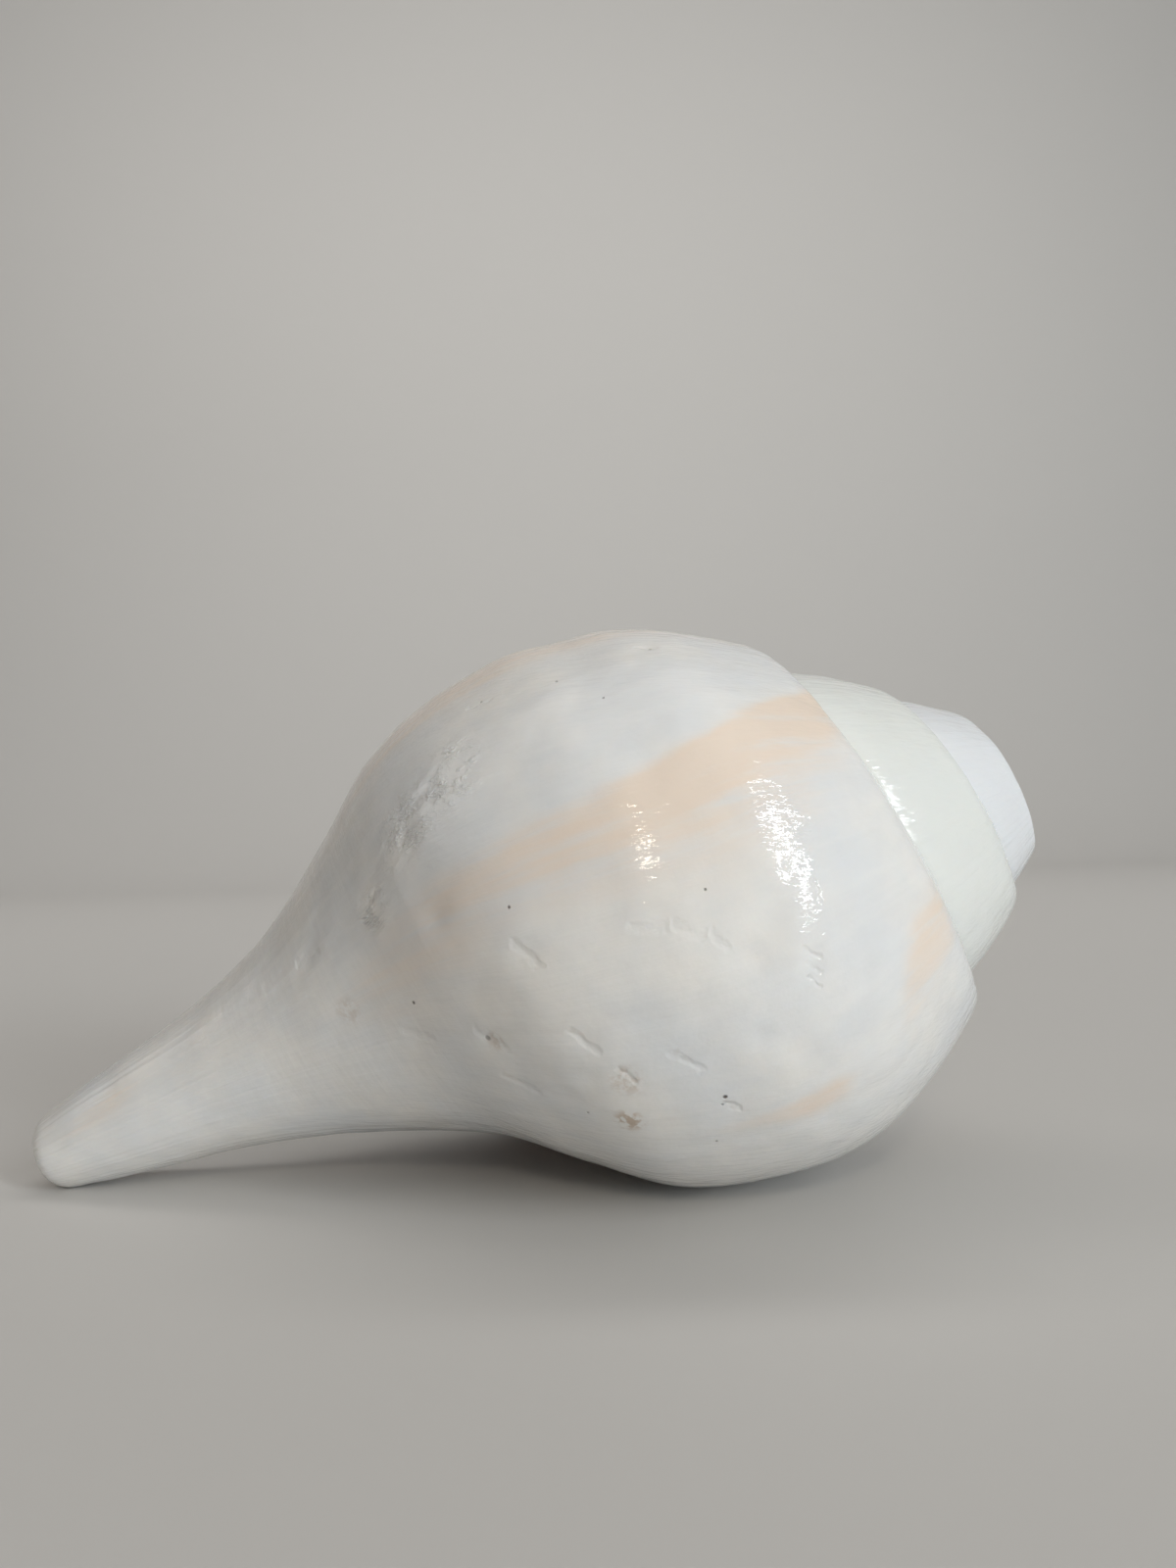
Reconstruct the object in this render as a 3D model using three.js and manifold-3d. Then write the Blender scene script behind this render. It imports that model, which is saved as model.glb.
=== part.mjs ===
// A polished sacred chank (Turbinella pyrum) prepared as a blowing conch, lying on its opening.
// One solid: a dextral spiral shell whose tip of the spire is sawn off and opened as a mouthpiece.
//
// The shell is first built about its coiling axis, in millimetres: local +Z runs towards the spire,
// local +X is the back of the shell, and depths are measured down the axis from the point where the
// spire would have ended.  Growth is followed backwards: "turns" is 0 at the lip and rises by one for
// each whorl towards the spire.  Every surface is a contour in the half plane through the axis, and
// each contour point shrinks with its own power of the growth factor.
import * as THREE from "three";
import { mergeVertices } from "three/addons/utils/BufferGeometryUtils.js";
import Module from "manifold-3d";

// ---- Driving dimensions (mm, degrees, turns) ----
const WHORL_GROWTH = 1.65;        // size ratio from one whorl to the next
const ADULT_SLOWING = 0.15;       // turns before the lip over which growth stops
const LIP_AZIMUTH = -132;         // where the lip ends, about the axis, from the back of the shell
const AXIS_RISE = 22.64;          // how far the spire end of the axis is lifted as the shell lies
const AXIS_SPIN = -0.35;          // turn about that axis which brings the three resting points level
const SAW_DEPTH = 14.8;           // depth of the sawn spire end
const LEDGE_DEPTH = 1.6;          // how far above a whorl's shoulder edge its seam lies
const WALL = 4.4;                 // wall at the last whorl
const LIP_THICKNESS = 3;          // wall at the lip, before its edge is rounded
const LIP_ROUND = 0.0052;         // turns over which the lip's edge is rounded
const CALLUS = 1.2;               // glaze laid over the earlier whorl inside the shell
const CALLUS_START = -0.03;       // turns behind the lip where the glaze thickens from
const BELLY_CLEARANCE = 1.5;      // distance the hollow keeps from the belly outside the lip
const CANAL_SLIT = 3.6;           // width of the slit under the siphonal canal
const MOUTH_RADIUS = 7.2;         // mouthpiece opening in the sawn face
const WINDWAY_RADIUS = 3.6;       // passage from the mouthpiece into the whorls

// Contour of the last whorl at the lip: depth, radius, growth power, offset towards the back.
const CONTOUR = [
  [49.2, 43.5, 1, 0.3],
  [52.2, 46.2, 0.97, 0.3],
  [61.6, 51.9, 0.89, 0.8],
  [71.1, 56.1, 0.85, 0.9],
  [80.1, 57.8, 0.82, 0.8],
  [91.4, 57.6, 0.75, 2.1],
  [105, 51, 0.53, 4.8],
  [116.6, 42.5, 0.46, 7.8],
  [127.5, 31, 0.36, 9.6],
  [139.4, 20, 0.16, 9.3],
  [153.5, 13.3, 0.03, 9.4],
  [168.2, 10, 0, 9.3],
  [179.9, 7.7, 0, 9.3],
  [186, 5.6, 0, 9.3],
  [187.8, 0, 0, 9.3],
];
// Growth power of the same points once the whorl is covered and has become the columella.
const COVERED_POWER = [1, 0.97, 0.9, 0.88, 0.87, 0.86, 0.85, 0.84, 0.8, 0.6, 0.2, 0, 0, 0, 0];
const COVERING = [0.86, 1.12];    // turns over which the one power passes into the other

const WALL_POWER = 0.7;           // how the wall thins with growth towards the spire
const LIP_THICKENING = 0.12;      // turns behind the lip before the wall is full
const INNER_ROUNDING = 0.9;       // rounding of the lip's inner edge, as a share of the outer edge's
const STEM_REACH = [14, 30];      // distances from the axis over which the lip's rounding sets in
const HOLLOW_START = 6;           // least length of the hollow along the axis
const NARROWEST_GAP = 1.5;        // where the hollow ends against the columella
const HOLLOW_RUNOUT = 0.12;       // turns the hollow is carried on past the lip
const HOLLOW_TURNS = 2.3;         // turns of hollow behind the lip
const MOUTH_DEPTH = 7;            // length of the funnel
const WINDWAY_DEPTH = 20;         // length of funnel and bore together

const CANAL_AZIMUTH = -142;       // side of the stem that the slit is on
const CANAL_ROOF = 1.7;           // thickness of the stem over the channel beside the slit
const CANAL_CLEARANCE = 12;       // how far the slit cutter stands out of the stem
// Canal: depth, distance of its floor from the stem's middle, half width.
const CANAL = [
  [122, 27, 2],
  [130, 17, 3.6],
  [140, 9, 4],
  [150, 5, 3.6],
  [165, 3, 3],
  [192, 1.5, 2.6],
];

// ---- Mesh resolution ----
const COLUMNS = 48;               // per whorl
const LIP_COLUMNS = [0, 0.0016, LIP_ROUND];
const BAND_ROWS = 8;              // from a whorl's edge down to the next seam
const BASE_ROWS = 24;             // from that seam to the end of the canal
const SPIRE_TURNS = 3.6;          // whorls modelled before the saw cut
const HOLLOW_SIDES = 26;          // round the hollow
const RUNOUT_STEPS = 4;           // of hollow past the lip
const HOLLOW_STEP = 1 / 22;       // turns from one ring of the hollow to the next
const MOUTH_SIDES = 28;           // round the mouthpiece
const MERGE_DISTANCE = 1e-3;      // points nearer than this are one point
const HALVINGS = 40;              // steps of the search for a depth on a contour
const OVERCUT = 1;                // how far a cutter stands out of the face it cuts

// Smooth curves through the contour's columns, taken two at a time.
const curveThrough = (pairs) => new THREE.SplineCurve(pairs.map(([x, y]) => new THREE.Vector2(x, y)));
const outline = curveThrough(CONTOUR.map(([depth, radius]) => [depth, radius]));
const openPower = curveThrough(CONTOUR.map(([, , power, back]) => [power, back]));
const coveredPower = curveThrough(COVERED_POWER.map((power) => [power, 0]));

const radians = THREE.MathUtils.degToRad;
const { lerp, smoothstep, clamp } = THREE.MathUtils;

function growth(turns) {
  const slowed = Math.hypot(turns, ADULT_SLOWING) - ADULT_SLOWING;
  return WHORL_GROWTH ** -slowed;
}

// Point of the outer contour, with along running from 0 at the shoulder edge to 1 at the canal's end.
function contourAt(turns, along) {
  const { x: depth, y: radius } = outline.getPoint(along);
  const { x: open, y: back } = openPower.getPoint(along);
  const covered = coveredPower.getPoint(along).x;
  const power = lerp(open, covered, smoothstep(turns, ...COVERING));
  const size = growth(turns) ** clamp(power, 0, 1);
  return { depth: size * depth, radius: size * Math.max(radius, 0), back: size * back };
}

// Where on its contour a whorl reaches a depth.
function alongAtDepth(turns, depth) {
  let low = 0;
  let high = 1;
  for (let i = 0; i < HALVINGS; i++) {
    const middle = (low + high) / 2;
    if (contourAt(turns, middle).depth < depth) low = middle;
    else high = middle;
  }
  return (low + high) / 2;
}

const contourAtDepth = (turns, depth) => contourAt(turns, alongAtDepth(turns, depth));

// Depth of the seam where the whorl at turns is laid on the one before it.
const seamDepth = (turns) => contourAt(turns, 0).depth - LEDGE_DEPTH * growth(turns);

function place(turns, { depth, radius, back }) {
  const azimuth = radians(LIP_AZIMUTH + 360 * turns);
  return new THREE.Vector3(radius * Math.cos(azimuth) + back, radius * Math.sin(azimuth), -depth);
}

// ---- Turning vertex lists into solids ----
const wasm = await Module();
wasm.setup();

function solidFrom(points, triangles) {
  const geometry = new THREE.BufferGeometry().setFromPoints(points);
  geometry.setIndex(triangles);
  const merged = mergeVertices(geometry, MERGE_DISTANCE);
  const index = merged.index.array;
  const kept = [];
  for (let i = 0; i < index.length; i += 3) {
    const [a, b, c] = index.slice(i, i + 3);
    if (a !== b && b !== c && c !== a) kept.push([a, b, c]);
  }
  const vertProperties = merged.attributes.position.array;
  const solidWith = (corners) => {
    const triVerts = Uint32Array.from(corners.flat());
    return new wasm.Manifold(new wasm.Mesh({ numProp: 3, vertProperties, triVerts }));
  };
  const solid = solidWith(kept);
  if (solid.volume() > 0) return solid;
  return solidWith(kept.map(([a, b, c]) => [b, a, c]));
}

function solidOf(geometry) {
  const points = [];
  const position = geometry.getAttribute("position");
  for (let i = 0; i < position.count; i++) points.push(new THREE.Vector3().fromBufferAttribute(position, i));
  return solidFrom(points, [...geometry.index.array]);
}

// A closed skin through rings of equally many points, with a fan over each end.
function loft(rings) {
  const sides = rings[0].length;
  const points = rings.flat();
  const triangles = [];
  for (let ring = 0; ring < rings.length - 1; ring++) {
    for (let side = 0; side < sides; side++) {
      const here = ring * sides;
      const next = (side + 1) % sides;
      triangles.push(here + side, here + next, here + sides + next);
      triangles.push(here + side, here + sides + next, here + sides + side);
    }
  }
  for (const [first, order] of [[0, -1], [(rings.length - 1) * sides, 1]]) {
    const centre = new THREE.Vector3();
    for (let side = 0; side < sides; side++) centre.addScaledVector(points[first + side], 1 / sides);
    points.push(centre);
    for (let side = 0; side < sides; side++) {
      const pair = [first + side, first + ((side + 1) % sides)];
      triangles.push(...(order > 0 ? pair : pair.reverse()), points.length - 1);
    }
  }
  return solidFrom(points, triangles);
}

// How far the outer edge of the lip is drawn in.
function lipRounding(turns) {
  const back = clamp(1 - Math.abs(turns) / LIP_ROUND, 0, 1);
  return (LIP_THICKNESS / 2) * (1 - Math.sqrt(1 - back ** 2));
}

// ---- The outside: one strip of surface wound from the spire to the lip ----
// Turns of every column of the strip, from the lip to the closed end of the spire.
function columnTurns() {
  const fractions = [...LIP_COLUMNS];
  for (let i = 1; i < COLUMNS; i++) fractions.push(i / COLUMNS);
  const perTurn = fractions.length;
  const turns = [];
  for (let column = 0; column <= Math.round(SPIRE_TURNS * perTurn); column++) {
    turns.push(Math.floor(column / perTurn) + fractions[column % perTurn]);
  }
  return { turns, perTurn };
}

// Points of one column: its seam, the band down to the next seam and, on the last whorl, the base.
function columnPoints(turns, seamAlong, withBase) {
  const points = [place(turns, contourAtDepth(turns + 1, seamDepth(turns)))];
  for (let row = 0; row <= BAND_ROWS; row++) {
    points.push(place(turns, contourAt(turns, (seamAlong * row) / BAND_ROWS)));
  }
  for (let row = 1; withBase && row <= BASE_ROWS; row++) {
    points.push(place(turns, contourAt(turns, lerp(seamAlong, 1, row / BASE_ROWS))));
  }
  return points;
}

// Rounds the outer edge of the lip by drawing it in, except at its seam and on the canal's stem.
function roundLip(turns, points) {
  const azimuth = radians(LIP_AZIMUTH);
  const outward = new THREE.Vector3(Math.cos(azimuth), Math.sin(azimuth), 0);
  for (const point of points.slice(1)) {
    const pull = lipRounding(turns) * smoothstep(Math.hypot(point.x, point.y), ...STEM_REACH);
    point.addScaledVector(outward, -pull);
  }
}

// Triangles of the strip between neighbouring columns, each a list of point numbers.
function stripTriangles(columns) {
  const triangles = [];
  for (let column = 0; column < columns.length - 1; column++) {
    const [left, right] = [columns[column], columns[column + 1]];
    const rowCount = Math.min(left.length, right.length);
    for (let row = 0; row < rowCount - 1; row++) {
      triangles.push(left[row], left[row + 1], right[row + 1]);
      triangles.push(left[row], right[row + 1], right[row]);
    }
  }
  return triangles;
}

// The mouth is closed by a sheet in the plane of the lip, which the hollow later removes.
function mouthTriangles(lip, wall) {
  const seamRow = BAND_ROWS + 1;
  const triangles = [];
  for (let row = 0; row < lip.length - 1; row++) {
    const [near, far] = [wall[Math.max(row, seamRow)], wall[Math.max(row + 1, seamRow)]];
    triangles.push(lip[row], far, lip[row + 1]);
    if (near !== far) triangles.push(lip[row], near, far);
  }
  return triangles;
}

// The spire is closed to a point above the saw cut.
function spireTriangles(columns, perTurn, top) {
  const rim = columns.slice(-1 - perTurn).map((column) => column[0]);
  rim.push(...columns.at(-1).slice(1));
  return rim.slice(1).flatMap((next, i) => [rim[i], next, top]);
}

function outside() {
  const { turns, perTurn } = columnTurns();
  const lipSeam = alongAtDepth(1, seamDepth(0));
  const points = [];
  const columns = turns.map((at, column) => {
    const seamAlong = at > 1 ? alongAtDepth(at, seamDepth(at - 1)) : lipSeam;
    const rows = columnPoints(at, seamAlong, column <= perTurn);
    roundLip(at, rows);
    return rows.map((point) => points.push(point) - 1);
  });
  const top = points.push(new THREE.Vector3(0, 0, 0)) - 1;
  return solidFrom(points, [
    ...stripTriangles(columns),
    ...mouthTriangles(columns[0], columns[perTurn]),
    ...spireTriangles(columns, perTurn, top),
  ]);
}

// ---- The hollow: one tube that follows the whorls from beyond the lip up to the windway ----
function wallAt(turns) {
  const full = lerp(LIP_THICKNESS, WALL, smoothstep(turns, 0, LIP_THICKENING)) * growth(turns) ** WALL_POWER;
  return full - INNER_ROUNDING * lipRounding(turns);
}

// Beyond the lip the hollow keeps clear of the belly; behind it the glaze thickens from nothing.
const callusAt = (turns) =>
  turns < 0 ? BELLY_CLEARANCE : CALLUS * smoothstep(turns, CALLUS_START, LIP_THICKENING);

// The outer face of the hollow lies one wall inside the whorl, the inner face one callus outside the last.
function hollowAt(turns, depth) {
  const outer = contourAtDepth(turns, depth);
  const inner = contourAtDepth(turns + 1, depth);
  const slope = contourAtDepth(turns, depth + 1).radius - outer.radius;
  outer.radius -= wallAt(turns) * Math.hypot(1, slope);
  inner.radius += callusAt(turns);
  const azimuth = radians(LIP_AZIMUTH + 360 * turns);
  const gap = outer.radius - inner.radius + (outer.back - inner.back) * Math.cos(azimuth);
  return { outer, inner, gap };
}

function hollowSection(turns) {
  const size = growth(turns);
  const top = contourAt(turns, 0).depth + wallAt(turns);
  let bottom = top + HOLLOW_START * size;
  while (hollowAt(turns, bottom + size).gap > NARROWEST_GAP * size) bottom += size;
  const half = HOLLOW_SIDES / 2;
  const outers = [];
  const inners = [];
  for (let i = 0; i < half; i++) {
    const eased = (1 - Math.cos((Math.PI * i) / (half - 1))) / 2;
    const { outer, inner } = hollowAt(turns, lerp(top, bottom, eased));
    outers.push(place(turns, outer));
    inners.push(place(turns, inner));
  }
  return [...outers, ...inners.reverse()];
}

function hollow() {
  const rings = [];
  for (let step = RUNOUT_STEPS; step > 0; step--) {
    rings.push(hollowSection((-HOLLOW_RUNOUT * step) / RUNOUT_STEPS));
  }
  for (const turns of LIP_COLUMNS) rings.push(hollowSection(turns));
  for (let turns = HOLLOW_STEP; turns <= HOLLOW_TURNS; turns += HOLLOW_STEP) rings.push(hollowSection(turns));
  return loft(rings);
}

// ---- The siphonal canal: a channel inside the stem, open through a slit beside the lip ----
function canal() {
  const azimuth = radians(CANAL_AZIMUTH);
  const outward = new THREE.Vector3(Math.cos(azimuth), Math.sin(azimuth), 0);
  const across = new THREE.Vector3(-Math.sin(azimuth), Math.cos(azimuth), 0);
  const rings = CANAL.map(([depth, floor, halfWidth]) => {
    const { radius, back } = contourAtDepth(0, Math.min(depth, CONTOUR.at(-3)[0]));
    const slit = CANAL_SLIT / 2;
    const roof = Math.max(radius - CANAL_ROOF, floor + halfWidth);
    const half = [
      [floor, halfWidth / 2],
      [floor + halfWidth / 2, halfWidth],
      [roof - slit, halfWidth],
      [roof, slit],
      [radius + CANAL_CLEARANCE, slit],
    ];
    const sides = [...half, ...half.map(([out, side]) => [out, -side]).reverse()];
    return sides.map(([out, side]) =>
      new THREE.Vector3(back, 0, -depth).addScaledVector(outward, out).addScaledVector(across, side));
  });
  return loft(rings);
}

// ---- The mouthpiece: a funnel in the sawn face and a bored way into the whorls ----
function mouthpiece() {
  const profile = [
    [0, SAW_DEPTH - OVERCUT],
    [MOUTH_RADIUS, SAW_DEPTH - OVERCUT],
    [MOUTH_RADIUS, SAW_DEPTH],
    [WINDWAY_RADIUS, SAW_DEPTH + MOUTH_DEPTH],
    [WINDWAY_RADIUS, SAW_DEPTH + WINDWAY_DEPTH],
    [0, SAW_DEPTH + WINDWAY_DEPTH],
  ].map(([radius, depth]) => new THREE.Vector2(radius, -depth));
  const funnel = new THREE.LatheGeometry(profile.reverse(), MOUTH_SIDES);
  return solidOf(funnel.rotateX(Math.PI / 2));
}

// ---- Laying the shell down: it rests on the canal's tip, the lip and the belly of the last whorl ----
function layDown(solid) {
  const { vertProperties, triVerts } = solid.getMesh();
  const geometry = new THREE.BufferGeometry();
  geometry.setAttribute("position", new THREE.BufferAttribute(Float32Array.from(vertProperties), 3));
  geometry.setIndex([...triVerts]);
  const rise = radians(AXIS_RISE);
  const spireward = new THREE.Vector3(Math.cos(rise), 0, Math.sin(rise));
  const backward = new THREE.Vector3(-Math.sin(rise), 0, Math.cos(rise));
  const sideward = new THREE.Vector3().crossVectors(spireward, backward);
  geometry.rotateZ(radians(AXIS_SPIN));
  geometry.applyMatrix4(new THREE.Matrix4().makeBasis(backward, sideward, spireward));
  geometry.computeBoundingBox();
  const { min, max } = geometry.boundingBox;
  geometry.translate(-(min.x + max.x) / 2, -(min.y + max.y) / 2, -min.z);
  geometry.computeVertexNormals();
  return geometry;
}

const solid = outside()
  .subtract(hollow())
  .subtract(canal())
  .trimByPlane([0, 0, -1], SAW_DEPTH)
  .subtract(mouthpiece());

const porcelain = new THREE.MeshStandardMaterial({ color: "#e9e8e4", roughness: 0.15, metalness: 0 });
const shell = new THREE.Mesh(layDown(solid), porcelain);
shell.name = "shell";

const part = new THREE.Group();
part.name = "conch_shell";
part.add(shell);
export default part;
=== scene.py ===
"""A polished sacred chank (Turbinella pyrum) prepared as a blowing conch, lying on its opening.

The shell is built about its coiling axis, in millimetres: local +Z runs towards the spire, local +X is
the back of the shell, and depths are measured down the axis from the point where the spire would have
ended. Growth is followed backwards: "turns" is 0 at the lip and rises by one for each whorl towards the
spire. "along" runs down a whorl's contour, from 0 at its shoulder edge to 1 at the canal's end.
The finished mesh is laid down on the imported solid's base and scaled to metres.
"""
import math

import bpy
import numpy as np
from mathutils import Matrix, Vector, kdtree, noise


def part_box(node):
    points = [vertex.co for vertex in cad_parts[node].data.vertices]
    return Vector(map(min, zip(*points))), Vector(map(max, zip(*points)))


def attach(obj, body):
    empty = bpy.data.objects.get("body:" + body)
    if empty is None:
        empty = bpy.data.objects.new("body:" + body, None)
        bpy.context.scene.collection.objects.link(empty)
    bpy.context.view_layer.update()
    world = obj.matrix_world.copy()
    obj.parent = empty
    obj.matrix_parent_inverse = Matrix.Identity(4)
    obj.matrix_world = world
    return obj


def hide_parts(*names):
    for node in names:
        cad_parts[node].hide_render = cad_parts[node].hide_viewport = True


# ---- The coil (mm, degrees, turns) ----
WHORL_GROWTH = 1.65        # size ratio from one whorl to the next
ADULT_SLOWING = 0.15       # turns before the lip over which growth stops
LIP_AZIMUTH = -132         # where the lip ends, about the axis, from the back of the shell
AXIS_RISE = 22.64          # how far the spire end of the axis is lifted as the shell lies
AXIS_SPIN = -0.35          # turn about that axis which brings the three resting points level
SAW_DEPTH = 14.8           # depth of the sawn spire end
LEDGE_DEPTH = 1.6          # how far above a whorl's shoulder edge its seam lies
EDGE_ROUNDING = 0.016      # share of the contour taken up by the rounding of the shoulder edge
WALL = 4.4                 # wall at the last whorl
WALL_POWER = 0.7           # how the wall thins with growth towards the spire
LIP_THICKNESS = 3.0        # wall at the very lip
LIP_THICKENING = 0.12      # turns behind the lip before the wall is full
CALLUS = 1.2               # glaze laid over the earlier whorl inside the shell
CALLUS_START = -0.03       # turns behind the lip where the glaze thickens from
BELLY_CLEARANCE = 1.5      # distance the hollow keeps from the belly outside the lip
INNER_ROUNDING = 0.9       # rounding of the lip's inner edge, as a share of the outer edge's
STEM_REACH = (14, 30)      # distances from the axis over which the lip's rounding sets in
HOLLOW_START = 6           # least length of the hollow along the axis
NARROWEST_GAP = 1.5        # where the hollow ends against the columella
HOLLOW_RUNOUT = 0.12       # turns the hollow is carried on past the lip
HOLLOW_TURNS = 2.3         # turns of hollow behind the lip
CANAL_SLIT = 3.6           # width of the slit under the siphonal canal
CANAL_AZIMUTH = -142       # side of the stem that the slit is on
CANAL_ROOF = 1.7           # thickness of the stem over the channel beside the slit
CANAL_CLEARANCE = 12       # how far the slit cutter stands out of the stem
MOUTH_RADIUS = 7.2         # mouthpiece opening in the sawn face
MOUTH_DEPTH = 7            # length of the funnel
WINDWAY_RADIUS = 3.6       # passage from the mouthpiece into the whorls
WINDWAY_DEPTH = 20         # length of funnel and bore together

# Contour of the last whorl at the lip: depth, radius, growth power, offset towards the back, and the
# growth power once the whorl is covered and has become the columella.
CONTOUR = np.array([
    (49.2, 43.5, 1.00, 0.3, 1.00),
    (52.2, 46.2, 0.97, 0.3, 0.97),
    (61.6, 51.9, 0.89, 0.8, 0.90),
    (71.1, 56.1, 0.85, 0.9, 0.88),
    (80.1, 57.8, 0.82, 0.8, 0.87),
    (91.4, 57.6, 0.75, 2.1, 0.86),
    (105.0, 51.0, 0.53, 4.8, 0.85),
    (116.6, 42.5, 0.46, 7.8, 0.84),
    (127.5, 31.0, 0.36, 9.6, 0.80),
    (139.4, 20.0, 0.16, 9.3, 0.60),
    (153.5, 13.3, 0.03, 9.4, 0.20),
    (168.2, 10.0, 0.00, 9.3, 0.00),
    (179.9, 7.7, 0.00, 9.3, 0.00),
    (186.0, 5.6, 0.00, 9.3, 0.00),
    (187.8, 0.0, 0.00, 9.3, 0.00),
])
COVERING = (0.86, 1.12)    # turns over which the one power passes into the other

# Canal: depth, distance of its floor from the stem's middle, half width.
CANAL = [(122, 27, 2), (130, 17, 3.6), (140, 9, 4), (150, 5, 3.6), (165, 3, 3), (192, 1.5, 2.6)]

# ---- Mesh resolution ----
COLUMNS = 340              # per whorl
LIP_COLUMNS = (0, 0.0006, 0.0016, 0.003, 0.0052)
LIP_ROUND = 0.0052         # turns over which the lip's edge is rounded
RUNOUT_RINGS = 8           # evenly spaced rings of the hollow beyond the lip
LEDGE_ROWS = 4             # from a seam out to the rounding of the shoulder edge above it
EDGE_ROWS = 6              # round the shoulder edge
BAND_ROWS = 34             # from the shoulder edge down to the next seam
BASE_ROWS = 100            # from that seam to the end of the canal
SPIRE_TURNS = 3.6          # whorls modelled before the saw cut
HOLLOW_SIDES = 72
HOLLOW_STEP = 1 / 72
MOUTH_SIDES = 96
MOUTH_RIM_RINGS = 3        # rings of the mouthpiece that are coloured like the outside
CANAL_RINGS = 40
HALVINGS = 30              # steps of the search for a depth on the contour
JOIN_DISTANCE = 1e-3       # points of the skin nearer than this are one point
SAW_REACH = 60             # half width of the block that the saw cut takes away
SAW_HEIGHT = 40            # how far that block goes up past the spire
SHARP_ANGLE = 38           # degrees between faces above which an edge is shaded sharp

MM = 0.001


# ---- The contour ----
def spline(nodes, along):
    """Catmull-Rom curve through the rows of nodes, at along from 0 to 1."""
    last = len(nodes) - 1
    at = np.clip(along, 0, 1) * last
    index = np.minimum(at.astype(int), last - 1)
    weight = (at - index)[..., None]
    before, start, end, after = (nodes[np.clip(index + k, 0, last)] for k in (-1, 0, 1, 2))
    leaving = (end - before) / 2
    arriving = (after - start) / 2
    cubic = 2 * start - 2 * end + leaving + arriving
    square = 3 * end - 3 * start - 2 * leaving - arriving
    return ((cubic * weight + square) * weight + leaving) * weight + start


def smoothstep(x, low, high):
    x = np.clip((np.asarray(x, float) - low) / (high - low), 0, 1)
    return x * x * (3 - 2 * x)


def growth(turns):
    return WHORL_GROWTH ** -(np.hypot(turns, ADULT_SLOWING) - ADULT_SLOWING)


def contour(turns, along):
    """Depth, radius and offset towards the back of the outer surface."""
    turns, along = np.broadcast_arrays(np.asarray(turns, float), np.asarray(along, float))
    depth, radius, power, back, covered = np.moveaxis(spline(CONTOUR, along), -1, 0)
    power = power + (covered - power) * smoothstep(turns, *COVERING)
    size = growth(turns) ** np.clip(power, 0, 1)
    return size * depth, size * np.maximum(radius, 0), size * back


def along_at_depth(turns, depth):
    """Where on its contour a whorl reaches a depth."""
    turns, depth = np.broadcast_arrays(np.asarray(turns, float), np.asarray(depth, float))
    low = np.zeros(turns.shape)
    high = np.ones(turns.shape)
    for _ in range(HALVINGS):
        middle = (low + high) / 2
        above = contour(turns, middle)[0] < depth
        low = np.where(above, middle, low)
        high = np.where(above, high, middle)
    return (low + high) / 2


def contour_at_depth(turns, depth):
    return contour(turns, along_at_depth(turns, depth))


def seam_depth(turns):
    """Depth of the seam where the whorl at turns is laid on the one before it."""
    return contour(turns, 0)[0] - LEDGE_DEPTH * growth(turns)


def place(turns, depth, radius, back):
    azimuth = np.radians(LIP_AZIMUTH + 360 * np.asarray(turns, float))
    x = radius * np.cos(azimuth) + back
    y = radius * np.sin(azimuth)
    return np.stack(np.broadcast_arrays(x, y, -np.asarray(depth)), -1)


# ---- The outside: one strip of surface wound from the spire to the lip ----
def column_turns():
    fractions = np.array([*LIP_COLUMNS, *(np.arange(1, COLUMNS) / COLUMNS)])
    fractions = np.unique(fractions.round(6))
    count = int(SPIRE_TURNS * len(fractions))
    column = np.arange(count + 1)
    return column // len(fractions) + fractions[column % len(fractions)], len(fractions)


def outside():
    """Points, triangles, and each point's turns and along, of the closed outer skin."""
    turns, per_turn = column_turns()
    lip_seam = float(along_at_depth(1, seam_depth(0)))
    seam_along = np.where(turns > 1, along_at_depth(turns, seam_depth(turns - 1)), lip_seam)
    rows, marks = shoulder_rows(turns)
    for step in range(1, BAND_ROWS + 1):
        marks.append(EDGE_ROUNDING + (seam_along - EDGE_ROUNDING) * step / BAND_ROWS)
        rows.append(place(turns, *contour(turns, marks[-1])))
    band_end = len(rows) - 1
    for step in range(1, BASE_ROWS + 1):
        marks.append(seam_along + (1 - seam_along) * step / BASE_ROWS)
        rows.append(place(turns, *contour(turns, marks[-1])))
    grid = np.stack(rows, 1)
    round_lip(grid, turns)
    mark = np.stack([np.broadcast_to(turns[:, None], grid.shape[:2]), np.stack(marks, 1)], -1)
    columns, row_count = grid.shape[:2]
    index = np.arange(columns * row_count).reshape(columns, row_count)
    triangles = [quads(index[: per_turn + 1]), quads(index[per_turn:, : band_end + 1])]
    triangles.append(mouth_sheet(index[0], index[per_turn], band_end))
    tip = columns * row_count
    rim = [*index[columns - 1 - per_turn:, 0], *index[columns - 1, 1: band_end + 1]]
    triangles.append(np.array([(a, b, tip) for a, b in zip(rim, rim[1:])]))
    points = np.vstack([grid.reshape(-1, 3), (0, 0, 0)])
    mark = np.vstack([mark.reshape(-1, 2), (SPIRE_TURNS, 0)])
    return points, np.vstack(triangles), mark


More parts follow.
